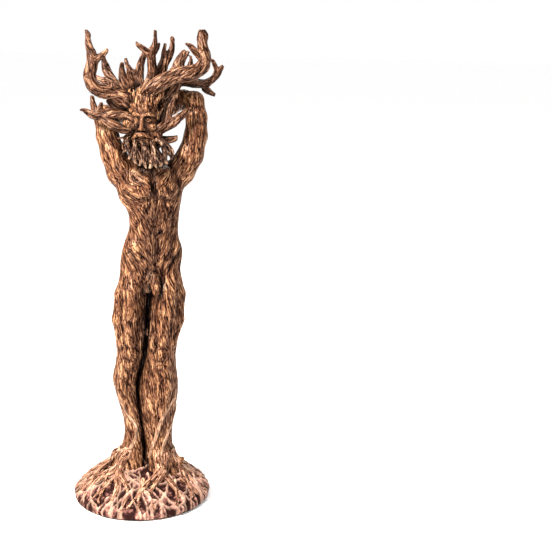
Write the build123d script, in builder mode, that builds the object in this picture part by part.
"""Tree-man statuette: a standing figure whose head grows branches and whose legs run down into roots.

Millimetres, +Z up. The front of the figure faces -Y, so its own right side is at -X. The origin is the
centre of the felt under the base. Every piece is modelled as it would be moulded: the limbs, the head and
each branch and root are separate, and steel rods and pins hold them together.
"""

import math
import os

from build123d import *

# ---- driving dimensions -------------------------------------------------------------------------
FELT_THICK = 1.0
FELT_RADIUS = 42.0
BASE_RADIUS = 44.0
RIM_TOP = 4.0  # height of the base's upright edge
DOME_TOP = 23.0  # height of the middle of the base

ROD_RADIUS = 1.5  # M3 studding in the legs
ROD_BOTTOM = 2.2
ROD_TOP = 166.0
WASHER_RADIUS = 3.5
WASHER_THICK = 0.5
NUT_ACROSS_FLATS = 5.5
NUT_THICK = 2.4
POCKET_RADIUS = 4.5
POCKET_TOP = 6.2

NECK_ROD_RADIUS = 1.25
PIN_RADIUS = 0.8
PIN_LENGTH = 9.0
SHOULDER_PIN_RADIUS = 1.2

# x and y of the two leg rods
ROD_PLACES = {"right": (-6.6, 1.0), "left": (12.6, -2.2)}

# Sections of the lofted pieces: (z, centre x, centre y, half width, half depth)
TORSO = [
    (138.0, 6.6, 0.6, 16.5, 11.5),
    (147.0, 7.3, 1.3, 19.8, 14.2),
    (155.0, 7.4, 1.4, 19.4, 14.3),
    (163.0, 7.6, 1.0, 18.2, 12.8),
    (170.0, 8.7, 0.5, 16.0, 11.4),
    (177.0, 9.4, 0.3, 14.9, 11.0),
    (186.0, 8.6, 0.0, 16.8, 12.2),
    (195.0, 7.1, 0.0, 19.8, 14.0),
    (203.0, 6.2, 0.0, 20.8, 14.4),
    (210.0, 6.0, 0.6, 19.4, 12.8),
    (216.0, 5.6, 1.6, 14.0, 10.0),
    (220.0, 5.2, 2.2, 9.4, 7.8),
]
RIGHT_LEG = [
    (153.0, -1.4, 1.2, 7.6, 11.2),
    (145.0, -4.4, 1.0, 9.8, 12.8),
    (134.0, -5.9, 0.4, 11.4, 12.9),
    (122.0, -7.3, 0.0, 11.7, 12.6),
    (110.0, -7.9, -0.3, 10.7, 11.4),
    (97.0, -7.5, -0.5, 8.4, 9.4),
    (88.0, -9.5, 0.6, 8.0, 9.4),
    (79.0, -11.6, 2.0, 7.9, 9.8),
    (66.0, -10.2, 2.0, 7.0, 8.4),
    (54.0, -7.8, 1.4, 5.9, 7.0),
    (45.0, -6.6, 1.0, 5.7, 6.6),
    (36.0, -6.8, 0.6, 6.6, 7.4),
    (27.0, -7.4, 0.3, 8.2, 9.2),
    (17.0, -8.0, 0.0, 9.8, 11.0),
]
LEFT_LEG = [
    (153.0, 16.0, 1.0, 7.6, 11.2),
    (145.0, 17.0, 0.4, 9.6, 12.6),
    (134.0, 16.0, -0.5, 11.8, 12.9),
    (122.0, 15.0, -1.5, 11.1, 12.6),
    (110.0, 13.6, -2.5, 10.5, 11.8),
    (97.0, 12.8, -3.4, 8.8, 9.8),
    (88.0, 11.6, -3.0, 10.2, 10.4),
    (79.0, 10.4, -2.6, 12.2, 11.0),
    (70.0, 10.2, -2.5, 12.6, 11.2),
    (60.0, 10.4, -2.5, 11.4, 10.6),
    (50.0, 10.8, -2.5, 9.8, 9.6),
    (40.0, 10.9, -2.5, 8.6, 9.0),
    (30.0, 11.8, -2.6, 8.8, 9.6),
    (17.0, 12.6, -3.0, 10.0, 11.2),
]
HEAD = [
    (222.5, 3.6, -3.4, 4.6, 5.6),
    (226.0, 3.4, -3.6, 7.2, 8.8),
    (232.0, 3.2, -2.6, 9.2, 11.4),
    (240.0, 3.0, -1.2, 10.2, 12.8),
    (248.0, 3.0, -0.4, 10.3, 12.8),
    (254.0, 3.0, 0.2, 8.8, 10.8),
    (259.0, 3.0, 0.6, 5.6, 6.8),
    (261.0, 3.0, 0.6, 3.0, 3.6),
]
# Limbs, branches, roots and strands: lists of (x, y, z, radius)
NECK = [(5.4, 2.6, 212.0, 7.4), (4.6, 2.2, 220.0, 6.8), (3.8, 1.6, 230.0, 6.6)]
LOIN = [(9.6, -8.0, 148.0, 3.4), (10.2, -12.4, 143.6, 3.2), (10.6, -13.6, 139.6, 2.8), (10.7, -13.4, 137.0, 1.4)]
RIGHT_UPPER_ARM = [
    (-6.0, 2.0, 202.0, 9.0),
    (-11.4, 2.2, 212.0, 9.0),
    (-16.4, 3.8, 223.0, 7.6),
    (-20.0, 6.2, 234.0, 6.6),
    (-21.8, 8.4, 244.0, 5.9),
]
RIGHT_FOREARM = [
    (-22.2, 8.8, 246.5, 5.7),
    (-15.0, 13.4, 247.0, 5.8),
    (-7.5, 17.0, 244.6, 4.6),
    (-1.6, 18.8, 242.0, 3.6),
]
LEFT_UPPER_ARM = [
    (17.5, 2.0, 202.0, 9.0),
    (24.8, 2.0, 213.0, 8.8),
    (31.4, 2.2, 223.0, 7.8),
    (35.0, 2.8, 235.0, 6.8),
    (35.2, 3.8, 246.0, 6.1),
    (34.0, 4.8, 255.0, 5.6),
]
LEFT_FOREARM = [
    (33.4, 5.4, 258.0, 5.5),
    (27.0, 12.0, 257.0, 5.6),
    (19.5, 16.8, 251.0, 4.6),
    (13.0, 19.6, 245.5, 3.7),
]
RIGHT_HAND = [(-1.0, 19.0, 241.4, 3.6), (3.5, 20.0, 239.0, 4.2), (8.0, 19.2, 236.6, 3.0)]
LEFT_HAND = [(12.4, 19.9, 244.9, 3.6), (8.5, 21.2, 244.6, 3.8), (3.4, 20.6, 246.2, 2.8)]

# Each branch is a main stem and its side shoots, all lists of (x, y, z, radius).
BRANCHES = {
    "right_antler": [
        [
            (-0.5, -3.0, 251.0, 4.1), (-7.5, -5.0, 255.5, 4.4), (-15.0, -6.5, 260.0, 4.3),
            (-22.0, -7.0, 261.6, 4.1), (-27.6, -7.0, 265.0, 4.0), (-29.4, -6.5, 272.0, 3.4),
            (-28.0, -6.0, 279.0, 3.2), (-28.8, -5.0, 286.0, 2.3), (-30.4, -4.0, 292.0, 1.5),
            (-31.6, -3.4, 297.2, 0.8),
        ],
        [(-28.0, -6.0, 278.0, 2.7), (-23.6, -6.6, 281.4, 2.0), (-20.2, -6.8, 284.0, 1.3), (-18.8, -6.8, 286.4, 0.8)],
        [(-14.5, -6.5, 260.0, 2.7), (-15.4, -7.6, 264.6, 1.6), (-15.8, -7.8, 267.4, 0.9)],
    ],
    "left_antler": [
        [
            (5.0, -5.0, 257.0, 4.4), (9.0, -8.0, 265.0, 4.4), (16.0, -8.8, 269.0, 4.3),
            (24.5, -8.6, 272.0, 4.3), (32.6, -7.6, 273.8, 4.3), (38.2, -6.0, 278.0, 4.0),
            (38.6, -5.0, 286.0, 3.4), (37.6, -4.2, 293.0, 2.8), (37.4, -4.0, 299.0, 1.6),
        ],
        [(38.0, -5.2, 282.0, 2.7), (32.8, -6.0, 286.4, 2.0), (29.4, -6.2, 289.6, 1.5), (27.2, -6.2, 290.6, 0.8)],
        [(24.0, -8.6, 272.0, 2.9), (22.0, -7.0, 278.0, 2.3), (24.6, -6.4, 283.0, 1.7), (26.6, -6.4, 286.6, 0.8)],
    ],
    "crown_branch": [
        [
            (3.0, 0.2, 257.0, 3.7), (5.0, 0.2, 266.0, 3.0), (7.4, -0.4, 275.4, 2.8), (7.2, -0.8, 281.0, 2.6),
            (8.4, -1.4, 287.6, 2.0), (9.6, -1.0, 293.0, 1.3), (9.8, -1.0, 298.0, 0.8),
        ],
        [(7.2, -2.0, 281.6, 2.2), (3.6, -2.4, 286.0, 1.7), (-0.4, -2.6, 289.0, 1.2), (-2.0, -2.6, 291.2, 0.8)],
        [(7.8, -1.6, 284.6, 1.8), (11.0, -0.4, 287.4, 1.2), (12.2, 0.4, 290.4, 0.8)],
    ],
    "crown_fork": [
        [
            (5.5, 2.5, 257.0, 3.9), (9.6, 4.0, 266.0, 3.4), (13.4, 5.0, 275.0, 3.2), (17.0, 5.4, 282.0, 2.6),
            (19.6, 5.4, 288.0, 1.6), (19.8, 5.2, 294.2, 0.8),
        ],
        [(15.4, 5.2, 278.4, 2.4), (14.8, 4.6, 284.0, 1.7), (15.6, 4.2, 290.4, 0.8)],
    ],
    "loop_branch": [
        [
            (11.0, 2.0, 252.0, 4.1), (17.4, 1.4, 260.0, 3.4), (22.8, 1.6, 267.0, 2.9), (24.4, 2.6, 275.4, 2.6),
            (26.8, 3.4, 281.8, 2.0), (29.6, 3.2, 285.6, 0.9),
        ],
        [(23.6, 2.0, 270.6, 2.3), (29.0, 2.4, 275.0, 2.1), (31.2, 2.6, 280.2, 1.3), (30.8, 2.6, 283.4, 0.8)],
    ],
    "right_spikes": [
        [
            (-2.5, 1.5, 254.0, 3.7), (-7.2, 2.4, 261.8, 3.0), (-9.6, 2.4, 269.0, 2.6), (-10.4, 1.8, 274.0, 1.6),
            (-10.0, 0.8, 278.6, 0.8),
        ],
        [(-6.4, 2.2, 260.8, 2.6), (-5.0, 1.0, 267.4, 2.2), (-6.4, -0.4, 273.0, 1.6), (-7.0, -0.4, 277.6, 0.8)],
    ],
    "right_temple_branch": [
        [
            (-4.0, -9.0, 241.0, 3.7), (-8.2, -10.4, 247.6, 2.7), (-14.6, -9.6, 248.8, 2.6), (-21.4, -7.6, 247.8, 3.2),
            (-27.0, -5.8, 247.2, 2.8), (-31.0, -5.0, 248.8, 1.8), (-35.6, -4.4, 250.2, 0.8),
        ],
        [(-3.4, -7.6, 239.0, 2.9), (-9.4, -9.6, 239.4, 2.6), (-15.2, -9.2, 242.0, 2.7), (-22.0, -7.4, 247.0, 2.7)],
        [(-25.4, -6.2, 247.6, 2.3), (-27.4, -5.8, 253.0, 1.6), (-28.2, -5.6, 259.0, 0.8)],
        [(-23.4, -7.0, 248.4, 1.8), (-23.2, -6.8, 252.0, 1.3), (-22.6, -6.6, 255.0, 0.8)],
    ],
    "right_ear_branch": [
        [
            (-3.5, 0.5, 246.0, 3.2), (-10.2, -0.6, 250.6, 2.6), (-15.4, -0.8, 253.2, 2.0), (-19.4, -0.8, 256.4, 0.9),
        ],
        [(-9.6, -0.6, 250.2, 2.0), (-11.6, -1.0, 255.0, 1.5), (-12.6, -1.2, 258.6, 0.8)],
    ],
    "left_temple_branch": [
        [
            (9.5, -7.5, 238.0, 3.7), (15.0, -8.6, 241.0, 3.0), (21.0, -8.2, 244.6, 2.7), (26.4, -7.4, 248.8, 2.1),
            (30.8, -6.8, 252.6, 1.2),
        ],
        [(17.6, -8.4, 242.4, 2.3), (17.6, -7.0, 249.0, 1.8), (20.4, -6.0, 256.0, 1.5), (22.0, -5.4, 261.4, 0.9)],
    ],
    "left_jaw_stub": [
        [(9.4, -3.6, 233.4, 3.2), (15.4, -4.8, 233.0, 2.4), (19.6, -5.2, 233.4, 2.3), (22.8, -5.4, 234.6, 1.1)],
    ],
    "left_rear_branch": [
        [
            (8.2, 5.4, 247.0, 3.7), (17.6, 8.2, 258.6, 3.3), (29.0, 11.6, 267.4, 3.0), (40.0, 12.0, 266.4, 2.7),
            (46.8, 12.0, 271.0, 2.1), (51.6, 12.0, 277.4, 0.8),
        ],
        [(45.6, 12.0, 270.2, 1.8), (47.2, 11.4, 275.6, 1.5), (43.6, 10.6, 281.6, 0.8)],
        [(38.8, 11.8, 266.4, 2.1), (42.6, 12.0, 261.6, 1.7), (46.6, 12.4, 259.6, 0.9)],
    ],
    "rear_branch_right": [
        [
            (-2.4, 6.6, 251.4, 3.7), (-8.6, 10.8, 258.6, 3.2), (-16.0, 14.6, 266.4, 2.8), (-20.6, 18.4, 275.0, 2.3),
            (-22.4, 20.0, 284.0, 0.9),
        ],
        [(-15.2, 14.2, 265.6, 2.3), (-22.0, 16.4, 267.0, 1.8), (-27.6, 18.2, 270.4, 0.9)],
    ],
    "rear_branch_centre": [
        [
            (1.6, 6.6, 254.0, 3.7), (0.6, 12.6, 263.0, 3.2), (-0.6, 19.0, 271.0, 2.8), (1.6, 23.0, 279.0, 2.1),
            (4.4, 24.6, 286.6, 0.9),
        ],
        [(-0.2, 18.4, 270.2, 2.2), (-6.4, 22.4, 275.0, 1.7), (-8.6, 24.4, 280.6, 0.8)],
    ],
    "rear_branch_left": [
        [
            (6.6, 6.6, 251.0, 3.7), (11.2, 14.0, 260.6, 3.2), (16.0, 18.4, 268.0, 2.8), (22.4, 21.4, 274.4, 2.2),
            (26.6, 22.4, 282.6, 0.9),
        ],
        [(15.6, 18.0, 267.4, 2.2), (15.0, 22.4, 274.0, 1.7), (17.0, 25.0, 279.4, 0.8)],
    ],
}

# Roots: (leg it grows from, bearing at the leg and at the rim in degrees, sway in mm, radius at the leg)
ROOTS = [
    ("left", 250, 266, 3.4, 2.9),
    ("left", 287, 300, -3.1, 2.7),
    ("left", 318, 330, 3.2, 2.9),
    ("left", 350, 358, -3.0, 2.6),
    ("left", 25, 26, 3.0, 2.7),
    ("left", 62, 58, -3.2, 2.6),
    ("right", 262, 238, -3.4, 2.9),
    ("right", 222, 209, 3.4, 2.7),
    ("right", 188, 181, -3.0, 2.9),
    ("right", 155, 153, 3.0, 2.6),
    ("right", 122, 124, -3.2, 2.7),
    ("right", 82, 91, 3.0, 2.6),
]
ROOT_START_R = 6.8  # distance of a root's start from the middle of its leg
ROOT_CLIMB = 11.0  # how far the roots climb the ankle
RIM_GAP = 1.6
ROOT_TIP_RADIUS = 0.8
FORK_TURN = 14.0  # degrees between a root and its side roots at the rim

# Vines on the lower legs: (leg, [(z, bearing in degrees), ...], radius)
VINES = {
    "right_calf_vine": ("right", [(76, 215), (66, 238), (56, 268), (47, 300), (38, 282), (28, 262)], 1.1),
    "left_calf_vine_high": ("left", [(70, 330), (63, 305), (55, 280), (46, 262), (37, 240), (28, 222)], 1.2),
    "left_calf_vine_low": ("left", [(62, 368), (54, 340), (45, 312), (36, 285), (27, 266)], 1.1),
}

BEARD_STRANDS = 9
BEARD_MIDDLE_X = 3.0  # under the nose
BEARD_HALF_TOP = 8.2
BEARD_LOW_X = 6.2
BEARD_HALF_LOW = 12.4
BEARD_RADIUS = 1.5


# ---- helpers ------------------------------------------------------------------------------------
def dome_z(x, y):
    """Height of the base's domed top above the table at a place."""
    rise = DOME_TOP - RIM_TOP
    sphere = (BASE_RADIUS**2 + rise**2) / (2 * rise)
    return DOME_TOP - sphere + math.sqrt(sphere**2 - min(x * x + y * y, BASE_RADIUS**2))


def oval_loft(sections):
    """Loft through level ovals given as (z, centre x, centre y, half width, half depth)."""
    with BuildPart(mode=Mode.PRIVATE) as body:
        for z, x, y, half_width, half_depth in sections:
            with BuildSketch(Plane((x, y, z))):
                Ellipse(half_width, half_depth)
        loft()
    return body.part


def taper(points):
    """Loft of circles square to the line through (x, y, z, radius) points."""
    centres = [Vector(*p[:3]) for p in points]
    last = len(points) - 1
    with BuildPart(mode=Mode.PRIVATE) as stem:
        for i, point in enumerate(points):
            along = centres[min(i + 1, last)] - centres[max(i - 1, 0)]
            with BuildSketch(Plane(centres[i], z_dir=along)):
                Circle(point[3])
        loft()
    return stem.part


def biggest(part):
    """The largest solid of a cut piece, so that crumbs of a cut are dropped."""
    return max(part.solids(), key=lambda solid: solid.volume)


def cut_from(part, *others):
    """The largest solid left of a piece once the others are taken out of it."""
    for other in others:
        part = Part() + (part - other)
    return biggest(part)


def near(solid, others):
    """Those of the other solids whose bounding boxes meet this one's."""
    box = solid.bounding_box()
    found = []
    for other in others:
        gap = other.bounding_box()
        low = [max(a, b) for a, b in zip(box.min, gap.min)]
        high = [min(a, b) for a, b in zip(box.max, gap.max)]
        if all(a < b for a, b in zip(low, high)):
            found.append(other)
    return found


def finish(solid, name):
    """Name a finished piece and write it."""
    piece = Compound(children=[solid]) if isinstance(solid, Solid) else solid
    piece.label = name
    export_step(piece, f"parts/{name}.step")
    return piece


def rod(start, end, radius):
    """A straight round rod between two points."""
    axis = Vector(*end) - Vector(*start)
    with BuildPart() as bar:
        with BuildSketch(Plane(start, z_dir=axis)):
            Circle(radius)
        extrude(amount=axis.length)
    return bar.part


def leg_surface(sections, z, bearing, stand_off):
    """Point on a leg's side at a height and bearing, stand_off mm outside it."""
    above = [s for s in sections if s[0] >= z][-1]
    below = [s for s in sections if s[0] <= z][0]
    share = 0 if above[0] == below[0] else (z - below[0]) / (above[0] - below[0])
    x, y, wide, deep = (b + share * (a - b) for a, b in zip(above[1:], below[1:]))
    angle = math.radians(bearing)
    return (x + (wide + stand_off) * math.cos(angle), y + (deep + stand_off) * math.sin(angle), z)


def root_line(leg, bearing_in, bearing_out, sway, radius, begin=0.0, reach=BASE_RADIUS - RIM_GAP):
    """Points of one root, from its leg down and out over the dome to the rim."""
    centre_x, centre_y = (LEGS[leg][-1][1], LEGS[leg][-1][2])
    a, b = math.radians(bearing_in), math.radians(bearing_out)
    start = (centre_x + ROOT_START_R * math.cos(a), centre_y + ROOT_START_R * math.sin(a))
    end = (reach * math.cos(b), reach * math.sin(b))
    across = (start[1] - end[1], end[0] - start[0])
    length = math.hypot(*across)
    steps = 7
    points = []
    for i in range(steps + 1):
        t = begin + (1 - begin) * i / steps
        side = sway * math.sin(2 * math.pi * t) * (1 - 0.4 * t) / length
        x = start[0] + t * (end[0] - start[0]) + side * across[0]
        y = start[1] + t * (end[1] - start[1]) + side * across[1]
        thick = radius + (ROOT_TIP_RADIUS - radius) * t**0.8
        lift = ROOT_CLIMB * (1 - t) ** 5
        points.append((x, y, dome_z(x, y) + 0.3 * thick + lift, thick))
    return points


LEGS = {"right": RIGHT_LEG, "left": LEFT_LEG}
os.makedirs("parts", exist_ok=True)

# ---- armature -----------------------------------------------------------------------------------
leg_rods = {side: rod((x, y, ROD_BOTTOM), (x, y, ROD_TOP), ROD_RADIUS) for side, (x, y) in ROD_PLACES.items()}
for side, bar in leg_rods.items():
    finish(bar, f"{side}_leg_rod")

neck_rod = rod((5.2, 2.4, 196.0), (3.4, 1.0, 244.0), NECK_ROD_RADIUS)
finish(neck_rod, "neck_rod")

shoulder_pins = Compound(
    children=[
        rod((-5.0, 2.0, 201.5), (-15.0, 3.6, 221.0), SHOULDER_PIN_RADIUS),
        rod((16.6, 2.0, 202.0), (29.0, 2.1, 220.0), SHOULDER_PIN_RADIUS),
    ]
)
finish(shoulder_pins, "shoulder_pins")

pins = []
for stems in BRANCHES.values():
    first, second = (Vector(*p[:3]) for p in stems[0][:2])
    way = (second - first).normalized()
    middle = first + way * 5.0
    pins.append(rod(tuple(middle - way * PIN_LENGTH / 2), tuple(middle + way * PIN_LENGTH / 2), PIN_RADIUS))

with BuildPart() as rod_washers:
    with Locations(*[(x, y, POCKET_TOP - WASHER_THICK) for x, y in ROD_PLACES.values()]):
        Cylinder(WASHER_RADIUS, WASHER_THICK, align=(Align.CENTER, Align.CENTER, Align.MIN))
        Cylinder(ROD_RADIUS, WASHER_THICK, align=(Align.CENTER, Align.CENTER, Align.MIN), mode=Mode.SUBTRACT)
finish(rod_washers.part, "rod_washers")

with BuildPart() as rod_nuts:
    with BuildSketch(Plane.XY.offset(POCKET_TOP - WASHER_THICK - NUT_THICK)):
        with Locations(*ROD_PLACES.values()):
            RegularPolygon(NUT_ACROSS_FLATS / 2, 6, major_radius=False)
            Circle(ROD_RADIUS, mode=Mode.SUBTRACT)
    extrude(amount=NUT_THICK)
finish(rod_nuts.part, "rod_nuts")

# ---- base ---------------------------------------------------------------------------------------
with BuildPart() as felt_pad:
    Cylinder(FELT_RADIUS, FELT_THICK, align=(Align.CENTER, Align.CENTER, Align.MIN))
finish(felt_pad.part, "felt_pad")

with BuildPart() as base_mound:
    with BuildSketch(Plane.XZ) as half:
        with BuildLine():
            rise = DOME_TOP - RIM_TOP
            cap_radius = (BASE_RADIUS**2 + rise**2) / (2 * rise)
            Line((0, DOME_TOP), (0, FELT_THICK))
            Line((0, FELT_THICK), (BASE_RADIUS - 0.8, FELT_THICK))
            Line((BASE_RADIUS - 0.8, FELT_THICK), (BASE_RADIUS, FELT_THICK + 0.8))
            Line((BASE_RADIUS, FELT_THICK + 0.8), (BASE_RADIUS, RIM_TOP))
            mid = BASE_RADIUS / 2
            ThreePointArc((BASE_RADIUS, RIM_TOP), (mid, dome_z(mid, 0)), (0, DOME_TOP))
        make_face()
    revolve(axis=Axis.Z)
    for x, y in ROD_PLACES.values():
        with Locations((x, y, 0)):
            Cylinder(POCKET_RADIUS, POCKET_TOP, align=(Align.CENTER, Align.CENTER, Align.MIN), mode=Mode.SUBTRACT)
            Cylinder(ROD_RADIUS, DOME_TOP + 2, align=(Align.CENTER, Align.CENTER, Align.MIN), mode=Mode.SUBTRACT)
finish(base_mound.part, "base_mound")
mound = base_mound.part

# ---- body ---------------------------------------------------------------------------------------
with BuildPart() as torso:
    add(oval_loft(TORSO))
    add(taper(LOIN))
    for bar in [*leg_rods.values(), neck_rod, shoulder_pins]:
        add(bar, mode=Mode.SUBTRACT)
torso_solid = biggest(torso.part)
finish(torso_solid, "torso")

leg_solids = {}
for side, sections in LEGS.items():
    with BuildPart() as leg:
        add(oval_loft(sections))
    leg_solids[side] = cut_from(leg.part, torso_solid, mound, leg_rods[side], *leg_solids.values())
    finish(leg_solids[side], f"{side}_leg")

with BuildPart() as head:
    add(oval_loft(HEAD))
    add(taper(NECK))
head_solid = cut_from(head.part, torso_solid, neck_rod)

arms = {}
for side, upper, fore, hand in (
    ("right", RIGHT_UPPER_ARM, RIGHT_FOREARM, RIGHT_HAND),
    ("left", LEFT_UPPER_ARM, LEFT_FOREARM, LEFT_HAND),
):
    with BuildPart() as upper_arm:
        add(taper(upper))
        with Locations(upper[-1][:3]):
            Sphere(upper[-1][3])
    arms[f"{side}_upper_arm"] = cut_from(upper_arm.part, torso_solid, head_solid, shoulder_pins)
    with BuildPart() as forearm:
        add(taper(fore))
    arms[f"{side}_forearm"] = cut_from(forearm.part, arms[f"{side}_upper_arm"], head_solid)
    with BuildPart() as palm:
        add(taper(hand))
    arms[f"{side}_hand"] = cut_from(palm.part, arms[f"{side}_forearm"], head_solid)
arms["left_hand"] = cut_from(arms["left_hand"], arms["right_hand"])
for name, solid in arms.items():
    finish(solid, name)

# ---- branches -----------------------------------------------------------------------------------
branch_solids = {}
for (name, stems), pin in zip(BRANCHES.items(), pins):
    with BuildPart() as branch:
        for stem in stems:
            add(taper(stem))
    solid = cut_from(branch.part, head_solid, pin)
    branch_solids[name] = cut_from(solid, *near(solid, [*arms.values(), *branch_solids.values()]))
    finish(branch_solids[name], name)
finish(cut_from(head_solid, *pins), "head")
finish(Compound(children=pins), "branch_pins")

# ---- beard --------------------------------------------------------------------------------------
strands = []
for i in range(BEARD_STRANDS):
    side = 2 * i / (BEARD_STRANDS - 1) - 1  # -1 at the figure's right, 1 at its left
    front = -1.3 if i % 2 else 0.0  # every other strand stands forward
    sway = 0.9 if i % 2 else -0.9
    top = (BEARD_MIDDLE_X + BEARD_HALF_TOP * side, -13.0 + 4.4 * side**2, 232.5 + 2.0 * side**2)
    low = (BEARD_LOW_X + BEARD_HALF_LOW * side, -17.0 + 5.2 * side**2 + front, 220.4 + 4.8 * side**2)
    mid = [(t + l) / 2 for t, l in zip(top, low)]
    main = [
        (*top, 0.8 * BEARD_RADIUS),
        (mid[0] + sway + 1.0 * side, mid[1] - 1.8 + front / 2, mid[2] + 1.4, BEARD_RADIUS),
        (low[0] - 0.6 * sway, low[1], low[2], 0.9 * BEARD_RADIUS),
        (low[0] + 0.8 * sway, low[1] - 0.6, low[2] - 3.6, 0.35 * BEARD_RADIUS),
    ]
    split = [
        (mid[0] + 0.5 * sway + side, mid[1] - 1.4 + front / 2, mid[2] - 0.6, 0.7 * BEARD_RADIUS),
        (low[0] + 1.3 * sway + 1.2 * side, low[1] + 0.9, low[2] + 2.0, 0.6 * BEARD_RADIUS),
        (low[0] + 2.2 * sway + 2.4 * side, low[1] + 1.2, low[2] - 1.0, 0.3 * BEARD_RADIUS),
    ]
    with BuildPart() as beard_root:
        add(taper(main))
        add(taper(split))
    strand = cut_from(beard_root.part, head_solid, branch_solids["right_temple_branch"], *strands[-2:])
    strands.append(strand)
    finish(strand, f"beard_root_{i + 1}")

# ---- roots and vines ----------------------------------------------------------------------------
laid = []
for number, (leg, inward, outward, sway, radius) in enumerate(ROOTS, 1):
    turn = FORK_TURN if number % 2 else -FORK_TURN
    with BuildPart() as root:
        add(taper(root_line(leg, inward, outward, sway, radius)))
        add(taper(root_line(leg, inward, outward + turn, 1.3 * sway, radius * 0.85, begin=0.24)))
        add(taper(root_line(leg, inward, outward - 0.7 * turn, -sway, radius * 0.8, begin=0.46, reach=41.0)))
    solid = cut_from(root.part, mound, *leg_solids.values(), *laid)
    laid.append(solid)
    finish(solid, f"root_{number:02d}")

for name, (leg, places, radius) in VINES.items():
    line = [(*leg_surface(LEGS[leg], z, bearing, 0.3), radius) for z, bearing in places]
    line[-1] = (*line[-1][:3], radius * 0.7)
    with BuildPart() as vine:
        add(taper(line))
    solid = cut_from(vine.part, leg_solids[leg], *laid)
    laid.append(solid)
    finish(solid, name)
